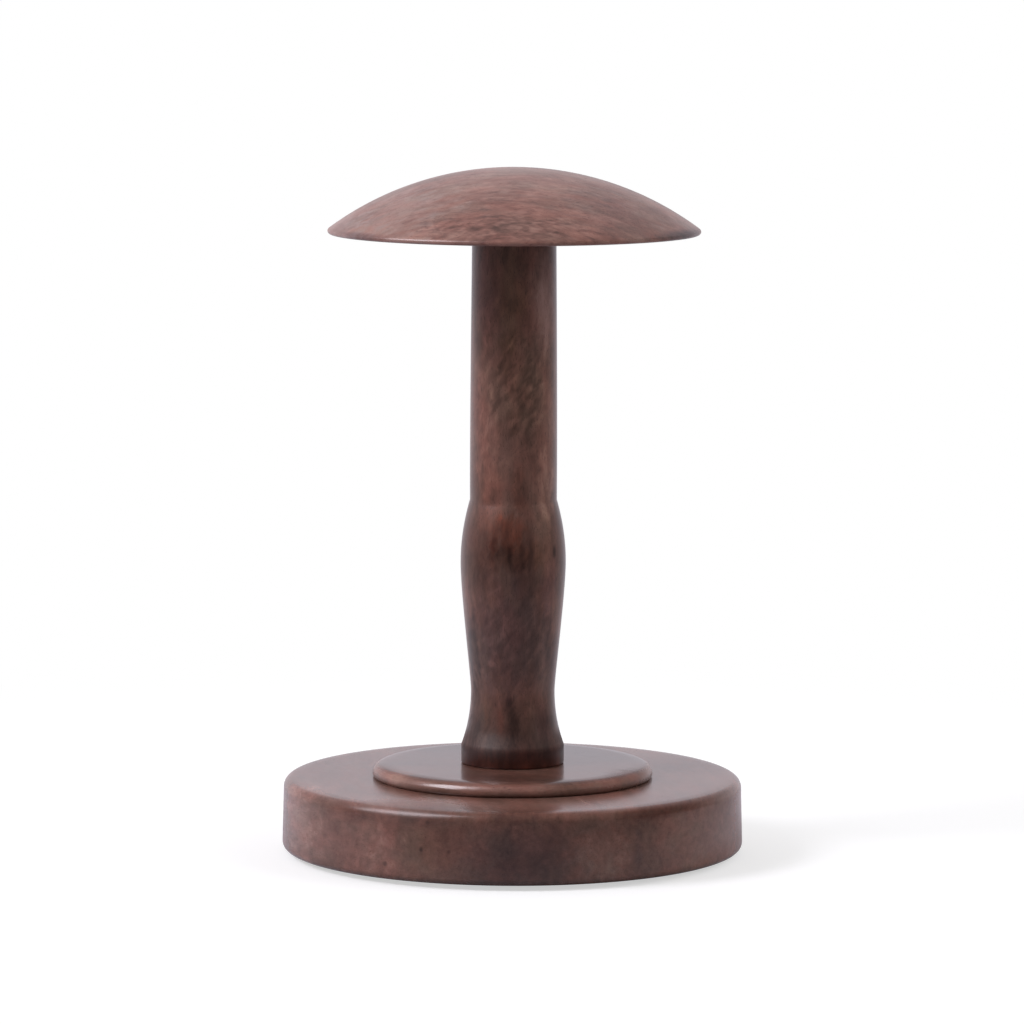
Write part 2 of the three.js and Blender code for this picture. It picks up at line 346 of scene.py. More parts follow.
@dataclass(frozen=True)
class Band(Patch):
    """A ring round a piece, whose centre and reach are each a radius and a height."""

    ragged: float = 0.8

    def away(self, shader: Shader, here: Term) -> Term:
        """Gives how far a place is from the ring's middle, as a share of the reach.

        Args:
            shader: The shader that it goes into.
            here: Place on the piece, in millimetres.

        Returns:
            The share.
        """
        out = ((here * LEVEL).length() - self.centre[0]) / self.reach[0]
        up = (here.part("Z") - self.centre[1]) / self.reach[1]
        return (out * out + up * up) ** 0.5


@dataclass(frozen=True)
class Finish:
    """What a piece is finished in, with the record's material slot."""

    slot: str

    def paint(self, shader: Shader) -> None:
        """Adds the finish's nodes to the shader of its material."""
        raise NotImplementedError


@dataclass(frozen=True)
class StainedWood(Finish):
    """Fine-grained hardwood with a walnut stain under satin lacquer.

    Attributes:
        shade: How light the stain is on the whole, from 0 to 1.
        grain: How the grain lies.
        origin: Point of the turned piece that becomes the middle of the pattern, in millimetres.
        cloudy: Strength of the stain's clouds.
        streaky: Strength of the grain's lines.
        curl: Strength of the curly figure all over.
        strokes: How the figure's short strokes lie.
        stroke: Length and width of a stroke, in millimetres.
        roughness: Lowest roughness of the lacquer.
        relief: Height of the grain that can still be felt, in millimetres.
        marks: Places that differ, in the wood and its stain, and places of painted light, shade and
            reflection.
        SWAY: How the grain drifts, by its weight in millimetres, as the RIPPLE in it does.
        BLUSH: Where the stain leans to red or to olive.
        TOOTH: What is left of the bare surface under the lacquer.
        DULLING: Roughness from the mottle, and from the pores by their relief.
    """

    shade: float
    grain: Grain
    origin: tuple[float, float, float]
    cloudy: float = 1.0
    streaky: float = 1.0
    curl: float = 0.1
    strokes: Grain = Grain.ACROSS
    stroke: tuple[float, float] = (6.0, 2.4)
    roughness: float = 0.3
    relief: float = 0.012
    marks: tuple[Patch, ...] = ()

    STAIN = (
        (0.0, colour(47, 30, 26)), (0.25, colour(76, 53, 47)), (0.5, colour(106, 75, 66)),
        (0.75, colour(137, 97, 86)), (1.0, colour(168, 125, 112)),
    )
    PORE = colour(52, 34, 30)
    RUDDY = (1.05, 0.98, 0.96)
    OLIVE = (0.95, 1.02, 1.01)

    SWAY = Layer(34.0, weight=14.0)
    RIPPLE = Layer(5.0, (1.0, 0.3, 0.3), 1.0, weight=2.4)
    RINGS = Layer(1.0, (0.02, 0.42, 0.42), 2.0, 0.55, weight=0.5)
    STREAK = Layer(1.0, (0.12, 1.5, 1.5), 3.0, 0.6, weight=0.28)
    CLOUD = Layer(17.0, (0.6, 1.0, 1.0), 3.0, weight=0.75)
    MOTTLE = Layer(4.2, (0.5, 1.0, 1.0), 2.0, 0.55, weight=0.42)
    PORES = Layer(1.0, (0.3, 3.2, 3.2), 1.0, weight=0.5)
    WAVER = Layer(4.0, (0.35, 1.0, 1.0), 3.0, 0.6)
    BLUSH = Layer(11.0, (0.5, 1.0, 1.0))
    TOOTH = Layer(0.9, detail=1.0, weight=0.25)
    PORE_EDGE = (0.6, 0.72)
    BLUSH_EDGE = (0.35, 0.65)
    STROKE_TWIST = 0.35
    STREAK_RELIEF, PORE_RELIEF = 0.5, -0.6
    DULLING = (0.04, 10.0)
    LACQUER_IOR = 1.5

    def paint(self, shader: Shader) -> None:
        """Adds the wood's nodes.

        Args:
            shader: The shader of its material.
        """
        here = shader.here()
        place = shader.place(self.grain, self.origin)
        sway = self.SWAY.wave(shader, place) * self.SWAY.weight
        ripple = self.RIPPLE.wave(shader, place) * self.RIPPLE.weight
        wood = place + shader.node("CombineXYZ", {}, {1: sway + ripple, 2: ripple})
        rings = self.RINGS.wave(shader, wood) * self.RINGS.weight
        streak = self.STREAK.wave(shader, wood)
        cloud = self.CLOUD.wave(shader, place) * self.CLOUD.weight
        mottle = self.MOTTLE.wave(shader, place)
        pores = self.PORES.share(shader, wood).step(*self.PORE_EDGE)
        waver = self.WAVER.wave(shader, wood)
        long, wide = self.stroke
        strokes = Layer(1.0, (1.0 / long, 1.0 / wide, 1.0 / wide), 1.0, twist=self.STROKE_TWIST)
        figure = strokes.wave(shader, shader.place(self.strokes, self.origin))

        tone = (cloud + mottle * self.MOTTLE.weight) * self.cloudy + self.shade
        tone = tone + (rings + streak * self.STREAK.weight) * self.streaky
        curly = figure * self.curl
        by_mottle, by_pores = self.DULLING
        dull = (mottle + 0.5) * by_mottle + pores * (self.relief * by_pores) + self.roughness
        hue = shader.mix(self.BLUSH.share(shader, place).step(*self.BLUSH_EDGE), self.RUDDY, self.OLIVE)
        for mark in self.marks:
            mask = mark.mask(shader, here, waver)
            tone = tone + mask * mark.tone if mark.tone else tone
            curly = curly + figure * mask * mark.figure if mark.figure else curly
            hue = hue * shader.mix(mask, PLAIN, mark.hue) if mark.hue != PLAIN else hue
            dull = dull + mask * mark.matt if mark.matt else dull

        stained = shader.ramp(tone + curly, self.STAIN) * hue
        tooth = self.TOOTH.share(shader, place) * self.TOOTH.weight
        height = streak * self.STREAK_RELIEF + pores * self.PORE_RELIEF + tooth
        shader.surface({
            "Base Color": shader.mix(pores * self.PORES.weight, stained, self.PORE),
            "Roughness": dull,
            "Normal": shader.bump(height, self.relief * MM),
            "IOR": self.LACQUER_IOR,
        })


@dataclass(frozen=True)
class PlainMetal(Finish):
    """A bright machined or plated metal.

    Attributes:
        bright: Colour of the metal.
        dull: Colour where it has tarnished.
        roughness: Lowest roughness.
        LINES: The tool's lines, whose weight is the roughness that they add, as the tarnish's is.
    """

    bright: Colour
    dull: Colour
    roughness: float

    TARNISH = Layer(2.2, detail=3.0, weight=0.14)
    TARNISH_EDGE = (0.35, 0.75)
    LINES = Layer(weight=0.08)
    LINES_IN_A_MM = 9.0
    RELIEF = 0.01 * MM

    def paint(self, shader: Shader) -> None:
        """Adds the metal's nodes.

        Args:
            shader: The shader of its material.
        """
        here = shader.here()
        cloud = self.TARNISH.share(shader, here)
        across, up = (way * self.LINES_IN_A_MM for way in ((here * LEVEL).length(), here.part("Z")))
        lines = self.LINES.share(shader, shader.node("CombineXYZ", {}, {0: across, 2: up}))
        shader.surface({
            "Base Color": shader.mix(cloud.step(*self.TARNISH_EDGE), self.bright, self.dull),
            "Roughness": self.roughness + cloud * self.TARNISH.weight + lines * self.LINES.weight,
            "Metallic": 1.0,
            "Normal": shader.bump(lines, self.RELIEF, strength=0.5),
        })


@dataclass(frozen=True)
class PressedFelt(Finish):
    """Dense dark wool felt, with a colour between the fibres and one of the fibres."""

    dark: Colour
    light: Colour

    FIBRES = (Layer(1.0, (0.5, 3.0, 3.0), 2.0, 0.6), Layer(1.0, (3.0, 0.5, 3.0), 2.0, 0.6))
    FIBRE_EDGE = (0.4, 0.75)
    ROUGHNESS = 0.9
    RELIEF = 0.25 * MM
    SHEEN = {"Sheen Weight": 0.35, "Sheen Roughness": 0.5}

    def paint(self, shader: Shader) -> None:
        """Adds the felt's nodes.

        Args:
            shader: The shader of its material.
        """
        one_way, other_way = (layer.share(shader, shader.here()) for layer in self.FIBRES)
        fibres = one_way.larger(other_way)
        shader.surface(self.SHEEN | {
            "Base Color": shader.mix(fibres.step(*self.FIBRE_EDGE), self.dark, self.light),
            "Roughness": self.ROUGHNESS + fibres * (1.0 - self.ROUGHNESS),
            "Normal": shader.bump(fibres, self.RELIEF, strength=0.8),
        })


def new_material(name: str) -> tuple[Material, Shader]:
    """Makes a material.

    Args:
        name: Its name.

    Returns:
        The material, and the shader that its nodes go into.
    """
    material = bpy.data.materials.new(name)
    material.use_nodes = True
    return material, Shader(material.node_tree)


@cache
def material_of(finish: Finish) -> Material:
    """Gives a finish's material, which is made once.

    Args:
        finish: The finish.

    Returns:
        Its material.
    """
    material, shader = new_material(f"{finish.slot}_finish")
    finish.paint(shader)
    return material


def add_object(name: str, data: ID) -> Object:
    """Puts a mesh, a lamp or a camera into the scene.

    Args:
        name: Its name there.
        data: The mesh, lamp or camera.

    Returns:
        Its object.
    """
    thing = bpy.data.objects.new(name, data)
    bpy.context.scene.collection.objects.link(thing)
    return thing


def finish_mesh(mesh: BMesh, name: str) -> Object:
    """Turns a finished mesh into a smooth-shaded object with sharp corners.

    Args:
        mesh: The mesh, which is freed.
        name: Name of the object.

    Returns:
        The object.
    """
    bmesh.ops.recalc_face_normals(mesh, faces=mesh.faces)
    for face in mesh.faces:
        face.smooth = True
    data = bpy.data.meshes.new(name)
    mesh.to_mesh(data)
    mesh.free()
    data.set_sharp_from_angle(angle=SHARP_CORNER)
    return add_object(name, data)


def spin(mesh: BMesh, parts: Sequence[BMVert | BMEdge], angle: float, steps: int) -> None:
    """Turns parts of a mesh about the upright axis, and joins the ends of a whole turn.

    Args:
        mesh: The mesh.
        parts: The points, edges and faces that turn.
        angle: How far they turn.
        steps: Number of steps that this takes.
    """
    bmesh.ops.spin(
        mesh, geom=parts, cent=NOWHERE, axis=UP, dvec=NOWHERE, angle=angle, steps=steps,
        use_merge=angle == math.tau, use_normal_flip=False, use_duplicate=False,
    )


def dress(piece: Object, finish: Finish, node: str) -> None:
    """Gives a piece its finish, lets it ride with the stand, and lets it stand for its solid.

    Args:
        piece: The piece.
        finish: Its finish.
        node: The solid that it replaces.
    """
    piece.data.materials.append(material_of(finish))
    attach(piece, BODY)
    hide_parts(node)
    LOG.info("%s: %d faces", piece.name, len(piece.data.polygons))


@dataclass
class Outline:
    """Half the section of a turned piece, as points of radius and height in metres."""

    points: list[Vector] = field(default_factory=list)

    def to(self, radius: float, height: float) -> Self:
        """Goes straight to a point."""
        self.points.append(Vector((radius, 0.0, height)))
        return self

    def arc(
        self, radius: float, height: float, size: float, start: float, end: float, steps: int = 10,
    ) -> Self:
        """Goes round a centre.

        Args:
            radius: The centre's radius.
            height: The centre's height.
            size: Radius of the arc.
            start: Direction of its first point, in degrees, 0 pointing outwards and 90 up.
            end: Direction of its last point.
            steps: Number of straight steps.

        Returns:
            The outline.
        """
        for i in range(steps + 1):
            turn = math.radians(start + (end - start) * i / steps)
            self.to(radius + size * math.cos(turn), height + size * math.sin(turn))
        return self

    def sweep(self, ends: Sequence[Sequence[float]], steps: int) -> Self:
        """Goes along a curve through two ends, drawn towards the one or two points between them.

        Args:
            ends: First end, one or two points, last end, each a radius and a height.
            steps: Number of straight steps.

        Returns:
            The outline.
        """
        knots = [Vector((radius, 0.0, height)) for radius, height in ends]
        if len(knots) == 3:
            start, pull, end = knots
            knots = [start, start.lerp(pull, 2 / 3), end.lerp(pull, 2 / 3), end]
        self.points.extend(interpolate_bezier(*knots, steps + 1))
        return self

    def turn(self, name: str, faces: int = 192, centre: tuple[float, float] = (0.0, 0.0)) -> Object:
        """Turns the section about a vertical axis.

        Args:
            name: Name of the piece.
            faces: Faces round it.
            centre: Where the axis stands.

        Returns:
            The piece.
        """
        mesh = bmesh.new()
        apart = [p for i, p in enumerate(self.points) if i == 0 or (p - self.points[i - 1]).length > WELD]
        wire = [mesh.verts.new(p) for p in apart]
        edges = [mesh.edges.new(pair) for pair in zip(wire, wire[1:])]
        if wire[0].co.x > 0.0:
            edges.append(mesh.edges.new((wire[-1], wire[0])))
        spin(mesh, [*wire, *edges], math.tau, faces)
        bmesh.ops.remove_doubles(mesh, verts=mesh.verts, dist=WELD)
        bmesh.ops.translate(mesh, verts=mesh.verts, vec=(*centre, 0.0))
        return finish_mesh(mesh, name)


class Stack:
    """A piece built up from level rings, each drawn out of the one before it."""

    FACES = 96
    STEP = math.tau / FACES
    SIDE = FACES // 6

    def __init__(self) -> None:
        """Starts without a ring."""
        self.mesh = bmesh.new()
        self.first: list[BMEdge] = []
        self.last: list[BMEdge] = []

    def ring(self, radius: float, height: float, knurl: float = 0.0) -> Self:
        """Adds a round ring, on which every second point stands back by the knurl."""
        return self._draw(height, lambda number: radius - knurl * (number % 2))

    def hexagon(self, flats: float, height: float) -> Self:
        """Adds a six-sided ring, by its width across flats."""
        turns = [(number - self.SIDE / 2.0) * self.STEP for number in range(self.SIDE)]
        return self._draw(height, lambda number: flats / 2.0 / math.cos(turns[number % self.SIDE]))

    def _draw(self, height: float, reach: Callable[[int], float]) -> Self:
        """Adds a ring and the wall up to it.

        Args:
            height: Its height.
            reach: Gives the radius of each point from its number round the ring.

        Returns:
            The stack.
        """
        if self.last:
            made = bmesh.ops.extrude_edge_only(self.mesh, edges=self.last)["geom"]
            verts = [element for element in made if isinstance(element, BMVert)]
        else:
            verts = bmesh.ops.create_circle(self.mesh, segments=self.FACES, radius=1.0)["verts"]
        for vert in verts:
            number = round(math.atan2(vert.co.y, vert.co.x) / self.STEP)
            turn = Matrix.Rotation(number * self.STEP, 3, "Z")
            vert.co = turn @ Vector((reach(number), 0.0, height))
        ring = set(verts)
        around = (edge for vert in verts for edge in vert.link_edges if ring.issuperset(edge.verts))
        self.last = list(dict.fromkeys(around))
        self.first = self.first or self.last
        return self

    def close(self, name: str, hollow: bool = False) -> Object:
        """Finishes the piece.

        Args:
            name: Name of the piece.
            hollow: Whether the last ring joins the first, and otherwise both are filled.

        Returns:
            The piece.
        """
        if hollow:
            bmesh.ops.bridge_loops(self.mesh, edges=[*self.last, *self.first])
        else:
            for loop in (self.first, self.last):
                bmesh.ops.edgeloop_fill(self.mesh, edges=loop)
        return finish_mesh(self.mesh, name)


def add_thread(
    add: Callable[[float, float], object], start: float, pitch: float, turns: int, *ridge: Sequence[float],
) -> None:
    """Adds a screw thread, whose corners are each a radius and a share of the pitch."""
    for turn, (radius, share) in product(range(turns), ridge):
        add(radius, start + (turn + share) * pitch)


PINK = (1.03, 0.98, 1.0)
WARM = (1.04, 0.98, 0.94)
RED = (1.1, 0.93, 0.88)
MOSS = (0.97, 1.03, 0.97)
DUSKY = (1.0, 1.02, 0.9)
MAUVE = (0.97, 0.98, 1.06)

BASE_WOOD = StainedWood(
    "stained_wood_base", 0.58, Grain.AWAY, (40, 12, -30),
    cloudy=0.45, streaky=0.55, curl=0.12, strokes=Grain.UPRIGHT, stroke=(5, 3), roughness=0.2, relief=0.003,
    marks=(
        Patch((4, -100, 14), (33, 16, 20), -0.14, (0.94, 1, 1.12), ragged=0.8),
        Patch((-2, -100, 14), (6, 10, 22), -0.07),
        Patch((-38, -92, 14), (16, 12, 16), 0.08, MOSS),
        Patch((-58, -80, 14), (24, 22, 20), 0.15, figure=0.3, ragged=0.8),
        Patch((-54, -84, 21), (6, 8, 6), 0.08, PINK),
        Patch((-57, -82, 12), (6, 8, 4), 0.08),
        Patch((-75, -66, 21), (5, 6, 5), -0.09),
        Patch((-65, -76, 16), (4, 6, 5), -0.08),
        Patch((-87, -49, 14), (6, 9, 6), 0.08),
        Patch((-90, -40, 18), (20, 34, 22), 0.24, (0.97, 1.01, 1.02)),
        Patch((-67, -74, 27), (9, 12, 4), -0.08, PINK),
        Patch((38, -92, 14), (18, 14, 16), 0.15, (0.95, 1.07, 1.1)),
        Patch((52, -85, 26), (18, 14, 6), -0.06),
        Patch((53, -85, 14), (3, 8, 12), -0.05, MAUVE),
        # Darker and redder along the right fillet: partly a deeper stain in the end grain, partly painted
        # shade that dims its sheen.
        Patch((64, -74, 31), (40, 28, 4), -0.3, (1.12, 0.88, 0.78), ragged=0.5),
        Patch((2, -98, 31.5), (20, 12, 5), -0.14, ragged=0.5),
        Patch((78, -60, 15), (22, 22, 16), 0.03, (1, 1.02, 0.96)),
        Patch((0, 100, 17), (42, 16, 26), -0.16, MAUVE),
        Patch((-42, -72, 33), (34, 24, 3), 0.24, (0.95, 1.06, 1.12), -0.2, ragged=0.1),
        Patch((42, -72, 33), (34, 24, 3), 0.2, (0.95, 1.06, 1.12), -0.2, ragged=0.1),
        Patch((-53.6, -84.4, 9), (1.3, 3, 1.5), -0.4, ragged=0.5),
        Patch((-38.3, -92.4, 16.4), (1.1, 3, 1.6), -0.3, ragged=0.5),
        Patch((-26.7, -96.4, 16), (1.1, 3, 1.2), -0.2, ragged=0.5),
        Patch((-35.6, -93.4, 28), (1.2, 3, 1.5), -0.2, ragged=0.5),
        Band((98, 31.5), (5, 5), 0.05, crisp=0.1),
        Patch((-46, -84, 31.5), (34, 24, 8), -0.08, (0.99, 1, 1.02), matt=0.17, ragged=0.2),
    ),
)
STEP_WOOD = StainedWood(
    "stained_wood_step", 0.45, Grain.ASKEW, (-25, 70, 11),
    cloudy=0.4, streaky=0.5, curl=0.08, roughness=0.17, relief=0.003,
    marks=(
        # Lighter round the rounded edge: painted light and reflection, taken back out at the far side
        # further down.
        Band((59.2, 36.6), (3.4, 2.7), 0.36, (0.98, 1.02, 1.03), matt=0.1, crisp=0.2, ragged=0.4),
        Patch((26, -54, 37), (14, 8, 6), -0.14, WARM),
        Patch((-29, -53, 37.5), (13, 10, 5), matt=-0.14, ragged=0.3),
        Patch((-50, -32, 37), (10, 14, 5), 0.2, ragged=0.6),
        Patch((38, -24, 39), (30, 44, 4), -0.04, (1.04, 0.93, 0.84), -0.2, ragged=0.5),
        Patch((-38, -24, 39), (30, 44, 4), -0.02, (1.03, 0.95, 0.88), -0.2, ragged=0.5),
        # Darker on the step in front of the post: painted shade and a painted reflection of the post.
        Patch((0, -44, 39), (24, 14, 3), -0.1, (1, 0.98, 0.95)),
        Patch((52, -34, 37), (14, 22, 8), -0.1, WARM, matt=0.12),
        # Darker over the far half of the step, which takes the painted light of the edge back out there.
        Patch((0, 48, 37), (74, 44, 7), -0.34, ragged=0.4),
    ),
)
SHAFT_MARKS = (
    Band((18, 206), (14, 62), 0.05, ragged=0.5),
    Patch((-1, -18.5, 240), (7.5, 9, 34), 0.03, DUSKY),
    # Lighter just under the cap: painted light over the cap's shadow.
    Band((18, 267), (10, 6), 0.1),
    Patch((7, -17, 256), (5, 8, 16), 0.08),
    Patch((-1, -18.5, 222), (8, 9, 12), -0.13),
    # The lighter marks below on the post's left and right sides paint light from the lamps and a painted
    # sheen of the pale room.
    Patch((-14, -14, 248), (9, 10, 28), 0.13, (0.97, 0.97, 1.08)),
    Patch((14, -14, 242), (9, 10, 28), 0.33, (0.97, 0.99, 1.1), ragged=0.9),
    Patch((-12, -14, 190), (8, 9, 42), 0.2, (1.01, 0.99, 0.99), 0.2),
    Patch((2, -18, 203), (18, 12, 27), -0.06, MOSS, 0.75),
    Patch((14, -13, 188), (7, 10, 38), 0.16),
    Patch((-10, -15, 160), (10, 9, 14), 0.08, WARM),
    Patch((13, -13, 160), (8, 9, 20), 0.22, figure=0.2, ragged=1),
    Patch((13, -15, 150), (9, 9, 9), 0.1, WARM, ragged=0.6),
    Patch((2, -18.4, 160), (4, 8, 14), -0.1, RED),
)
SWELL_MARKS = (
    # Darker round the swell's widest part: painted shade, where the upright face reflects the dark room.
    Band((22, 128), (10, 20), -0.08, ragged=0.5),
    # Lighter on the left of the shoulder: a painted highlight.
    Patch((-9, -16.5, 148), (9, 9, 9), 0.15, (1.07, 0.93, 0.84), ragged=1),
    Patch((-4, -22, 142), (12, 10, 10), -0.06, (1.27, 0.84, 0.7)),
    Patch((0, -22, 132), (17, 9, 9), -0.15, (1.14, 0.91, 0.78), 0.3),
    Patch((-6.5, -21, 129), (1.5, 5, 6), -0.1, ragged=0.5),
    Patch((-1.5, -22, 131), (1.6, 5, 8), -0.12, ragged=0.5),
    Patch((3.5, -22, 130), (1.4, 5, 5), -0.1, ragged=0.5),
    Patch((-10, -20, 131), (1.3, 5, 4), -0.1, ragged=0.5),
    Patch((7.5, -21, 133), (1.6, 5, 6), -0.1, ragged=0.5),
    Patch((13, -17.3, 136), (6, 9, 20), 0.12, MOSS, ragged=0.8),
    Patch((17.7, -14, 133), (1, 5, 3.6), -0.3, ragged=0.5),
    Patch((0, -20, 98), (26, 24, 32), -0.03, (0.95, 1, 1.13), 0.35),
    Patch((-17, -9, 90), (6, 10, 22), -0.25),
    Patch((-14, -14, 104), (8, 10, 12), -0.05),
    Patch((17, -9, 87), (5, 9, 15), -0.22),
    Patch((16, -15, 120), (8, 9, 14), 0.07, MAUVE),
)
FOOT_MARKS = (
    Patch((-9.4, -16.5, 84.5), (2.4, 6, 2.2), 0.18, ragged=1),
    Patch((-13.5, -13.5, 81), (1.6, 5, 1.8), 0.12, ragged=1),
    # Lighter on the left of the cove: a painted highlight.
    Patch((-11.6, -14, 64), (4, 6, 10), 0.06, MOSS, ragged=0.8),
    Patch((-16.5, -11, 62), (6, 9, 24), -0.13, matt=0.2),
    Patch((-5.5, -17.5, 58), (2.6, 5, 9), -0.02, RED),
    # Darker in front, down into the foot: painted shade.
    Patch((0, -19, 57), (4.6, 6, 15), -0.28, (1.02, 0.94, 0.92)),
    Patch((13.5, -14, 60), (6, 8, 16), 0.04, MAUVE),
    # Darker down to the foot, and a dark ring on the foot itself: painted shade where the post stands on the
    # step.
    Band((20, 50), (10, 20), -0.17),
    Band((21, 41), (9, 7.2), -0.34, (1.34, 0.76, 0.62), crisp=0.6, ragged=0.15),
    Band((21.5, 49), (5, 7), matt=0.25, ragged=0.2),
)
POST_WOOD = StainedWood(
    "stained_wood_post", 0.52, Grain.UPRIGHT, (15, -20, 8),
    cloudy=0.65, streaky=0.65, curl=0.14, strokes=Grain.LEANING, stroke=(7.5, 2.8), roughness=0.27,
    relief=0.008,
    marks=SHAFT_MARKS + SWELL_MARKS + FOOT_MARKS,
)
CAP_WOOD = StainedWood(
    "stained_wood_cap", 0.84, Grain.ACROSS, (5, 33, 40),
    cloudy=0.8, streaky=0.4, curl=0.24, stroke=(4.8, 2.4), roughness=0.33, relief=0.01,
    marks=(
        Patch((-4, -68, 275), (46, 22, 8), -0.12, (0.99, 0.99, 1), 0.8),
        # These marks paint light and sheen: greyer over the top, lighter and greyer on the left and at both
        # ends, and darker on the right, as painted shade away from the lamp.
        Patch((0, -10, 292), (74, 64, 24), 0.02, (1.05, 1.2, 1.27)),
        Patch((44, -50, 280), (32, 34, 16), -0.07, (0.97, 1.06, 1.12)),
        Patch((-48, -40, 280), (32, 34, 16), 0.08, (0.96, 1.12, 1.2), 0.1),
        Patch((-74, -20, 274), (18, 40, 8), 0.12, (0.96, 1.16, 1.26)),
        Patch((74, -20, 274), (16, 40, 8), 0.1, (0.98, 1.08, 1.15)),
        # Painted light and shade at the rim: a lighter painted highlight all round it, a dark painted shadow
        # line under its right side, and darker painted shade low on the right.
        Band((79.6, 269.4), (2.4, 1.8), 0.12, MAUVE, ragged=0.2),
        Patch((72, -32, 270.6), (26, 36, 2.9), -0.44, (0.88, 1.03, 1.18), ragged=0.4),
        Patch((42, -60, 274), (14, 16, 6), -0.06),
        Patch((12, -44, 284), (52, 30, 14), figure=0.2),
        # Painted light low on the left and along the left rim, and a dark painted shadow line under the rim
        # further round.
        Patch((-50, -58, 274), (18, 20, 6), 0.1, (0.97, 1.06, 1.08)),
        Patch((-40, -69, 270.2), (18, 20, 1.8), 0.34, (0.98, 1.02, 1.05), ragged=0.4),
        Patch((-64, -44, 270.6), (14, 32, 2.2), -0.34, MAUVE, ragged=0.4),
    ),
)
ZINC = PlainMetal("zinc_steel", colour(190, 194, 197), colour(150, 153, 156), 0.24)
BRASS = PlainMetal("insert_brass", colour(201, 168, 98), colour(150, 118, 66), 0.28)
FELT = PressedFelt("dark_felt", colour(28, 24, 23), colour(70, 62, 58))


def drilled_from_below(
    floor: float, depth: float, bore: float = 6.5 * MM, mouth: float = 7.9 * MM, ledge: float = 1.3 * MM,
) -> Outline:
    """Starts a turned piece at the blind hole in its underside that takes a flanged insert.

    Args:
        floor: Height of the piece's underside.
        depth: Depth of the hole.
        bore: Radius of the hole.
        mouth: Radius of the wider recess that takes the flange.
        ledge: Depth of that recess.

    Returns:
        The outline, from the hole's end to the edge of its mouth.
    """
    outline = Outline().to(0.0, floor + depth).to(bore, floor + depth)
    return outline.to(bore, floor + ledge).to(mouth, floor + ledge).to(mouth, floor)


@dataclass
class Base:
    """Round base disc with a step disc on it."""

    top_round: float = 4.0 * MM
    bottom_round: float = 3.0 * MM
    lean: float = 0.6 * MM
    under_round: float = 1.4 * MM
    eased: float = 5.0 * MM
    ease_angle: float = 6.0
    bolt_hole: float = 4.5 * MM
    counterbore: float = 13.0 * MM
    counterbore_depth: float = 13.0 * MM

    def rounded_top(self, outline: Outline, rim: float, top: float, size: float) -> None:
        """Goes round a disc's top edge, eases it into the flat as sanding leaves it, and goes to the hole.

        Args:
            outline: The outline, which has come up to the round.
            rim: Radius where the round starts.
            top: Height of the flat.
            size: Radius of the round.
        """
        slope = math.radians(self.ease_angle)
        half = self.eased / 2.0
        drop = half * math.tan(slope)
        centre = (rim - size, top - drop - size * math.cos(slope))
        start = centre[0] + size * math.sin(slope)
        outline.arc(*centre, size, 0.0, 90.0 - self.ease_angle)
        outline.sweep(((start, top - drop), (start - half, top), (start - self.eased, top)), steps=6)
        outline.to(self.bolt_hole, top)

    def disc(self) -> None:
        """Builds the base disc with its counterbore and bolt hole."""
        low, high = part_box("base_disc")
        ledge = low.z + self.counterbore_depth
        outline = Outline().to(self.counterbore, low.z)
        outline.arc(high.x - self.bottom_round, low.z + self.bottom_round, self.bottom_round, -90, 0)
        self.rounded_top(outline, high.x - self.lean, high.z, self.top_round)
        outline.to(self.bolt_hole, ledge).to(self.counterbore, ledge)
        dress(outline.turn("base_disc_turned"), BASE_WOOD, "base_disc")

    def step(self) -> None:
        """Builds the step disc with its full round edge."""
        low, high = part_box("base_step")
        outline = Outline().to(self.bolt_hole, low.z)
        outline.arc(high.x - self.under_round, low.z + self.under_round, self.under_round, -90, 0)
        self.rounded_top(outline, high.x, high.z, high.z - low.z - self.under_round)
        dress(outline.turn("base_step_turned"), STEP_WOOD, "base_step")

    def build(self) -> None:
        """Builds both discs."""
        self.disc()
        self.step()


@dataclass
class Post:
    """Turned post with a waist, a swell and a crisp shoulder.

    Attributes:
        COVE_PULL: Height to which the cove's curve is drawn, as a share of its length, as the others are.
    """

    foot: float = 22.3 * MM
    foot_round: float = 0.8 * MM
    band: float = 8.0 * MM
    waist: float = 18.15 * MM
    cove: float = 23.7 * MM
    rise: float = 56.1 * MM
    shoulder: float = 18.8 * MM
    fall: float = 27.2 * MM
    belly: float = 0.2 * MM
    top: float = 18.15 * MM
    insert_depth: float = 22.3 * MM
    stud_hole: float = 4.3 * MM
    stud_depth: float = 32.0 * MM

    COVE_PULL, RISE_PULLS, FALL_PULL, SHAFT_PULL = 0.47, (0.1, 0.76), 0.49, 0.25
    FACES = 144

    def build(self) -> None:
        """Builds the post."""
        low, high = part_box("post")
        swell, hole_end = high.x, high.z - self.stud_depth
        band = low.z + self.band
        waist = band + self.cove
        widest = waist + self.rise
        kink = widest + self.fall
        cove = (self.waist, band + self.COVE_PULL * self.cove)
        slow, fast = (waist + share * self.rise for share in self.RISE_PULLS)
        fall = (swell, widest + self.FALL_PULL * self.fall)
        belly = (self.shoulder + self.belly, kink + self.SHAFT_PULL * (high.z - kink))
        outline = drilled_from_below(low.z, self.insert_depth)
        outline.arc(self.foot - self.foot_round, low.z + self.foot_round, self.foot_round, -90, 0, steps=6)
        outline.sweep(((self.foot, band), cove, (self.waist, waist)), steps=16)
        outline.sweep(((self.waist, waist), (self.waist, slow), (swell, fast), (swell, widest)), steps=30)
        outline.sweep(((swell, widest), fall, (self.shoulder, kink)), steps=18)
        outline.sweep(((self.shoulder, kink), belly, (self.top, high.z)), steps=40)
        outline.to(self.stud_hole, high.z).to(self.stud_hole, hole_end).to(0.0, hole_end)
        dress(outline.turn("post_turned", self.FACES), POST_WOOD, "post")


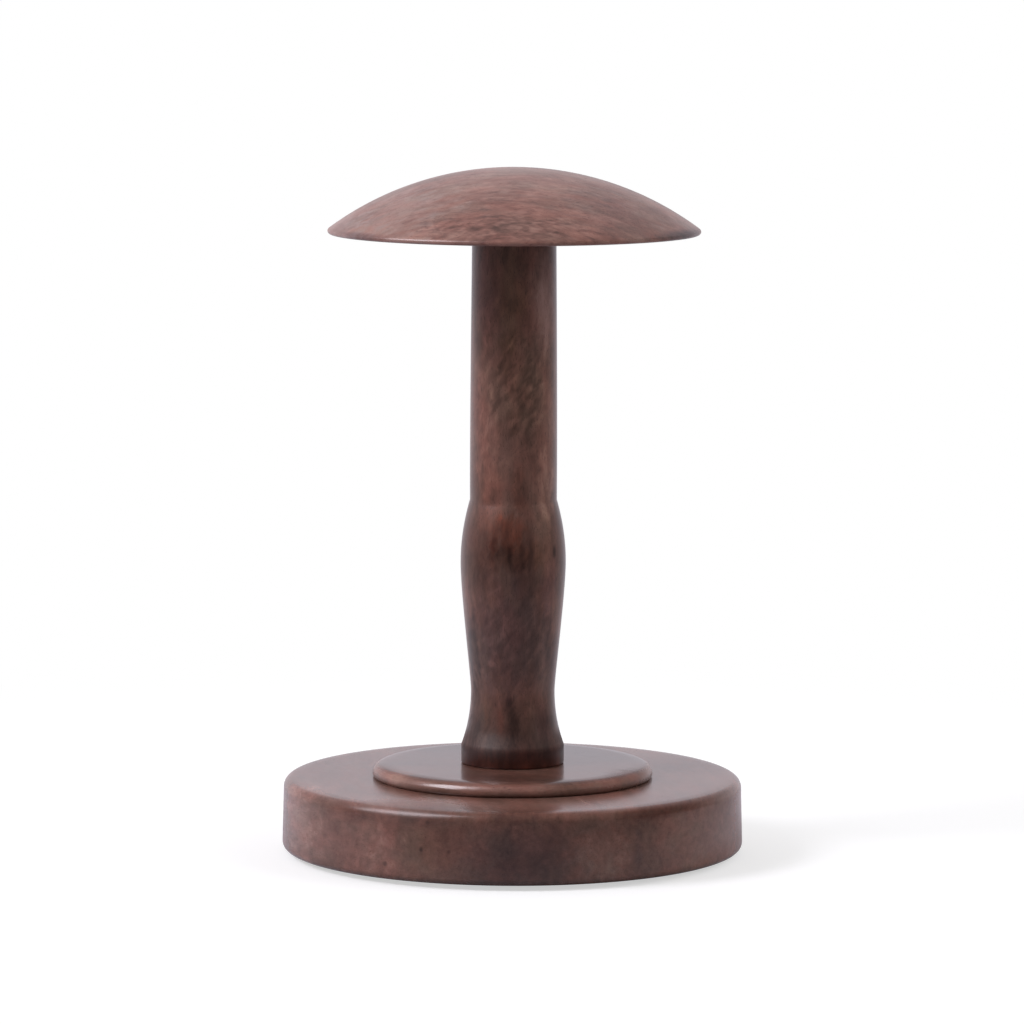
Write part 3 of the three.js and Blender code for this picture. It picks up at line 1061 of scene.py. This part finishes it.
@dataclass
class Cap:
    """Domed cap with a thin round rim and a small flat on top, and a hole below for its insert."""

    thickness: float = 28.5 * MM
    rim: float = 1.2 * MM
    seat: float = 5.0 * MM
    insert_depth: float = 18.3 * MM

    def build(self) -> None:
        """Builds the cap."""
        low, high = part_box("cap")
        rim_centre = high.x - self.rim
        rise = self.thickness - self.rim
        radius = (rim_centre**2 + rise**2 - self.rim**2) / (rise - self.rim) / 2.0
        centre = low.z + self.thickness - radius
        meeting = math.degrees(math.atan2(low.z + self.rim - centre, rim_centre))
        outline = drilled_from_below(low.z, self.insert_depth)
        outline.arc(rim_centre, low.z + self.rim, self.rim, -90, meeting)
        flat = math.degrees(math.acos(self.seat / radius))
        outline.arc(0.0, centre, radius, meeting, flat, steps=60).to(0.0, high.z)
        dress(outline.turn("cap_turned"), CAP_WOOD, "cap")


@dataclass
class Insert:
    """Flanged sleeve whose bore takes a machine screw, drawn as a plain bore, with a coarse thread outside
    and a hexagon to drive it in.
    """

    node: str
    flange: float = 1.0 * MM
    wall: float = 6.2 * MM
    bore: float = 3.7 * MM
    ridge: float = 0.7 * MM
    pitch: float = 2.5 * MM
    drive: float = 8.0 * MM
    drive_depth: float = 2.5 * MM
    edge: float = 0.2 * MM

    def build(self) -> None:
        """Builds the insert in the place of its solid."""
        low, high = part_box(self.node)
        rim, root = high.x, self.wall - self.ridge
        flange, floor = low.z + self.flange, low.z + self.drive_depth
        start = flange + self.ridge
        turns = int((high.z - start) / self.pitch)
        stack = Stack().hexagon(self.drive + 2.0 * self.edge, low.z).ring(rim - self.edge, low.z)
        stack.ring(rim, low.z + self.edge).ring(rim, flange).ring(root, flange)
        add_thread(stack.ring, start, self.pitch, turns, (root, 0.0), (self.wall, 0.4), (self.wall, 0.6))
        stack.ring(root, start + turns * self.pitch).ring(root, high.z)
        stack.ring(self.bore, high.z).ring(self.bore, floor)
        stack.hexagon(self.drive, floor).hexagon(self.drive, low.z + self.edge)
        dress(stack.close(f"{self.node}_sleeve", hollow=True), BRASS, self.node)


@dataclass
class BaseFixing:
    """Socket-head bolt, spring washer and flat washer in the base's counterbore."""

    screw: float = 4.0 * MM
    root: float = 3.4 * MM
    pitch: float = 1.25 * MM
    shank: float = 17.0 * MM
    head: float = 8.0 * MM
    key: float = 6.0 * MM
    key_depth: float = 4.0 * MM
    chamfer: float = 0.6 * MM
    knurl: float = 0.15 * MM
    hole: float = 4.3 * MM
    edge: float = 0.25 * MM
    split: float = 1.0 * MM

    def bolt(self) -> None:
        """Builds the bolt, which stands on its head."""
        low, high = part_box("base_bolt")
        rim = high.x
        grip = rim - self.knurl
        top = low.z + self.head
        floor = low.z + self.key_depth
        start = top + self.shank
        stack = Stack().ring(self.key / 4.0, floor).hexagon(self.key, floor)
        stack.hexagon(self.key, low.z + self.edge).hexagon(self.key + 2.0 * self.edge, low.z)
        stack.ring(rim - self.chamfer, low.z).ring(grip, low.z + self.chamfer)
        stack.ring(rim, low.z + 2.0 * self.chamfer, self.knurl).ring(rim, top - self.chamfer, self.knurl)
        stack.ring(grip, top - self.edge).ring(grip - self.edge, top)
        stack.ring(self.screw, top).ring(self.screw, start)
        ridge = ((self.root - self.edge, 0.25), (self.root, 0.65), (self.root, 0.85))
        add_thread(stack.ring, start, self.pitch, int((high.z - start) / self.pitch), *ridge)
        stack.ring(self.root - self.chamfer, high.z)
        dress(stack.close("base_bolt_turned"), ZINC, "base_bolt")

    def washer(self) -> None:
        """Builds the flat washer."""
        low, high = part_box("flat_washer")
        rim = high.x - self.edge
        outline = Outline().to(self.hole, low.z).to(rim, low.z)
        outline.arc(rim, low.z + self.edge, self.edge, -90, 0, steps=4)
        outline.arc(rim, high.z - self.edge, self.edge, 0, 90, steps=4).to(self.hole, high.z)
        dress(outline.turn("flat_washer_pressed", Stack.FACES), ZINC, "flat_washer")

    def spring(self) -> None:
        """Builds the split spring washer by taking its section round nearly a full turn."""
        low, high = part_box("spring_washer")
        width = high.x - self.hole
        thick = high.z - low.z
        mesh = bmesh.new()
        middle = Matrix.Translation((self.hole + width / 2.0, 0.0, low.z + thick / 2.0))
        upright = Matrix.Rotation(math.pi / 2.0, 4, "X") @ Matrix.Diagonal((width, thick, 1.0, 1.0))
        bmesh.ops.create_grid(mesh, x_segments=1, y_segments=1, size=0.5, matrix=middle @ upright)
        bmesh.ops.bevel(
            mesh, geom=mesh.verts[:], offset=self.edge, offset_type="OFFSET", segments=2, profile=0.5,
            affect="VERTICES", material=-1,
        )
        gap = math.asin(self.split / 2.0 / (self.hole + width / 2.0))
        bmesh.ops.rotate(mesh, verts=mesh.verts, cent=NOWHERE, matrix=Matrix.Rotation(gap, 3, "Z"))
        spin(mesh, [*mesh.verts, *mesh.edges, *mesh.faces], math.tau - 2.0 * gap, Stack.FACES)
        dress(finish_mesh(mesh, "spring_washer_split"), ZINC, "spring_washer")

    def build(self) -> None:
        """Builds the bolt and its washers."""
        self.bolt()
        self.washer()
        self.spring()


@dataclass
class CapStud:
    """Stud with a pointed wood screw below and a machine thread above."""

    point: float = 5.0 * MM
    screw: float = 4.0 * MM
    wood_depth: float = 0.8 * MM
    wood_length: float = 24.0 * MM
    wood_turns: int = 9
    root: float = 3.4 * MM
    depth: float = 0.25 * MM
    thread: float = 11.25 * MM
    turns: int = 9
    chamfer: float = 0.8 * MM

    def build(self) -> None:
        """Builds the stud."""
        low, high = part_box("cap_stud")
        start = low.z + self.point
        neck = start + self.wood_length
        core, groove = self.screw - self.wood_depth, self.root - self.depth
        end = high.z - self.chamfer
        seat = end - self.thread
        coarse = ((core, 0.0), (self.screw, 0.44), (self.screw, 0.56))
        fine = ((groove, 0.0), (self.root, 0.44), (self.root, 0.56))
        outline = Outline().to(0.0, low.z)
        add_thread(outline.to, start, self.wood_length / self.wood_turns, self.wood_turns, *coarse)
        outline.to(core, neck).to(self.screw, neck).to(self.screw, seat - self.chamfer).to(groove, seat)
        add_thread(outline.to, seat, self.thread / self.turns, self.turns, *fine)
        outline.to(groove, end).to(self.root - self.chamfer, high.z).to(0.0, high.z)
        dress(outline.turn("cap_stud_threaded", Stack.FACES), ZINC, "cap_stud")


@dataclass
class FeltPads:
    """Round pads of pressed felt that the stand rests on."""

    count: int = 4
    edge: float = 0.5 * MM

    def build(self) -> None:
        """Builds each pad in the place of its solid."""
        for node in (f"felt_pad_{i + 1}" for i in range(self.count)):
            low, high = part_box(node)
            radius = (high.x - low.x) / 2.0
            top_edge = self.edge / 2.0
            outline = Outline().to(0.0, low.z)
            outline.arc(radius - self.edge, low.z + self.edge, self.edge, -90, 0, steps=5)
            outline.arc(radius - top_edge, high.z - top_edge, top_edge, 0, 90, steps=3).to(0.0, high.z)
            dress(outline.turn(f"{node}_felt", Stack.FACES, (low.x + radius, low.y + radius)), FELT, node)


@dataclass(frozen=True)
class Lamp:
    """A flat soft lamp that faces the stand.

    Attributes:
        place: Where it hangs, in metres.
        size: Its width and height, in metres.
        power: Its power, in watts.
    """

    name: str
    place: tuple[float, float, float]
    size: tuple[float, float]
    power: float
    tint: Colour
    shows: Shows

    AIM = Vector((0.0, 0.0, 0.15))

    def hang(self) -> None:
        """Puts the lamp in its place."""
        light = bpy.data.lights.new(self.name, "AREA")
        light.shape = "RECTANGLE"
        light.size, light.size_y = self.size
        light.energy = self.power
        light.color = self.tint
        lamp = add_object(self.name, light)
        lamp.location = self.place
        lamp.visible_diffuse, lamp.visible_glossy = self.shows.value
        lamp.rotation_euler = (self.AIM - Vector(self.place)).to_track_quat("-Z", "Y").to_euler()


@dataclass
class Studio:
    """White studio: a pale table, soft lamps, and the camera at the photograph's place.

    Attributes:
        frame_pixels: Width of the frame, in pixels as the focal length is.
        film: Width of the camera's film, in millimetres.
        distance: Level distance from the stand's axis to the camera.
        dip: Angle by which the camera looks down, in degrees.
        roll: Angle by which it leans to its left, in degrees.
        aside: The camera's place beside the stand's axis.
        CAMERA_SIDE: What is around the camera, in the dark.
        DARK_WAY: Direction of the dark side's middle, a little to the right of the camera.
        IN_LIGHT: Where the dark side starts and is full, in what lights the stand.
        IN_GLOSS: The same in its gloss.
        BOUNCE: Colour of the table in the light that it throws back on the stand.
        TABLE_EDGE: Where the table starts to melt into the room and has done so, in metres.
        TABLE_BEFORE: Colour of the table in gloss, before the stand, from FRONT_EDGE on.
        GLOW: How much of the table's white is its own, and how much lies in light and shadow.
    """

    frame_pixels: float = 1024.0
    focal_pixels: float = 5761.25
    film: float = 36.0
    distance: float = 2476.24 * MM
    height: float = 435.26 * MM
    dip: float = 6.608
    roll: float = 0.19
    aside: float = -0.594 * MM

    WHITE = (1.0, 1.0, 1.0)
    WALLS = (0.92, 0.91, 0.94)
    UPPER_WALLS = (0.52, 0.5, 0.53)
    UPPER_EDGE = (0.16, 0.46)
    CEILING = (0.4, 0.39, 0.41)
    CEILING_EDGE = (0.7, 0.97)
    CAMERA_SIDE = (0.1, 0.1, 0.1)
    DARK_WAY = (0.139, -0.99, 0.0)
    IN_LIGHT = (0.3, 0.8)
    IN_GLOSS = (-1.0, 0.15)
    GLOSS_TINT = (0.92, 0.9, 0.95)
    BOUNCE = (0.26, 0.26, 0.27)
    TABLE_SIZE = 30.0
    TABLE_BESIDE = (0.74, 0.72, 0.78)
    TABLE_BEFORE = (0.22, 0.22, 0.26)
    TABLE_EDGE = (0.2, 0.55)
    FRONT_EDGE = (0.05, 0.18)
    GLOW = 0.55
    SIGHT = 50.0
    LAMP_TINT = (0.99, 0.97, 1.05)
    LAMPS = (
        Lamp("lamp_left", (-1.32, -0.53, 1.21), (0.65, 0.65), 18.0, LAMP_TINT, Shows.LIGHT),
        Lamp("lamp_right", (1.5, -0.45, 0.9), (1.2, 1.2), 9.0, WHITE, Shows.LIGHT),
        Lamp("box_left", (-1.209, -0.44, 1.437), (1.0, 1.1), 35.0, LAMP_TINT, Shows.GLOSS),
    )

    def camera(self) -> None:
        """Sets up the camera."""
        data = bpy.data.cameras.new("photo_camera")
        data.sensor_width = self.film
        data.lens = self.film * self.focal_pixels / self.frame_pixels
        data.clip_end = self.SIGHT
        camera = add_object("photo_camera", data)
        camera.location = (self.aside, -self.distance, self.height)
        aim = Matrix.Rotation(math.radians(90.0 - self.dip), 3, "X")
        camera.rotation_euler = (aim @ Matrix.Rotation(math.radians(self.roll), 3, "Z")).to_euler()
        bpy.context.scene.camera = camera

    def world(self) -> None:
        """Makes the room: pale walls, a dimmer ceiling, and dark where the camera stands."""
        world = bpy.data.worlds.new("white_room")
        bpy.context.scene.world = world
        world.use_nodes = True
        shader = Shader(world.node_tree)
        seen, mirrored = shader.looks()
        direction = shader.node("TexCoord", output="Generated")
        ahead = direction.along(self.DARK_WAY) / (direction * LEVEL).length()
        front = shader.mix(mirrored, ahead.step(*self.IN_LIGHT), ahead.step(*self.IN_GLOSS))
        up = direction.part("Z")
        walls = shader.mix(up.step(*self.UPPER_EDGE) * mirrored, self.WALLS, self.UPPER_WALLS)
        walls = shader.mix(up.step(*self.CEILING_EDGE), walls, self.CEILING)
        room = shader.mix(front, walls, self.CAMERA_SIDE) * shader.mix(mirrored, self.WHITE, self.GLOSS_TINT)
        shown = shader.node("Background", {}, {"Color": shader.mix(seen, room, self.WHITE)})
        shader.node("OutputWorld", {}, {"Surface": shown})

    def table(self) -> None:
        """Lays the pale table that keeps the stand's shadow and melts into the room far away."""
        mesh = bmesh.new()
        bmesh.ops.create_grid(mesh, x_segments=1, y_segments=1, size=self.TABLE_SIZE)
        table = finish_mesh(mesh, "table")
        material, shader = new_material("pale_table")
        seen, mirrored = shader.looks()
        here = shader.node("TexCoord", output="Object")
        ahead = here.along(self.DARK_WAY)
        away = here.length().step(*self.TABLE_EDGE)
        matt = shader.node("BsdfDiffuse", {}, {"Color": (self.GLOW,) * 3})
        glow = shader.node("Emission", {}, {"Color": self.WHITE, "Strength": self.GLOW})
        near = shader.node("AddShader", {}, {0: matt, 1: glow})
        bare = shader.node("Emission", {}, {"Color": self.WHITE})
        shown = shader.node("MixShader", {}, {0: away, 1: near, 2: bare})
        sheen = shader.mix(ahead.step(*self.FRONT_EDGE), self.TABLE_BESIDE, self.TABLE_BEFORE)
        plain = shader.node("BsdfDiffuse", {}, {"Color": shader.mix(mirrored, self.BOUNCE, sheen)})
        front = (ahead / here.length()).step(*self.IN_GLOSS)
        wall = shader.mix(front, self.WALLS, self.CAMERA_SIDE) * self.GLOSS_TINT
        mirror = shader.node("Emission", {}, {"Color": wall})
        other = shader.node("MixShader", {}, {0: away * mirrored, 1: plain, 2: mirror})
        both = shader.node("MixShader", {}, {0: seen, 1: other, 2: shown})
        shader.node("OutputMaterial", {}, {"Surface": both})
        table.data.materials.append(material)

    def build(self) -> None:
        """Sets up the whole studio."""
        self.camera()
        self.world()
        self.table()
        for lamp in self.LAMPS:
            lamp.hang()


def main() -> None:
    """Builds the stand around its frame."""
    logging.basicConfig(level=logging.INFO, format="%(name)s: %(message)s")
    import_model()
    bpy.context.scene.view_settings.view_transform = "Standard"
    assemblies = (
        Studio(), Base(), BaseFixing(), FeltPads(), Post(), Insert("post_insert"), CapStud(),
        Cap(), Insert("cap_insert"),
    )
    for assembly in assemblies:
        assembly.build()


if __name__ == "__main__":
    main()
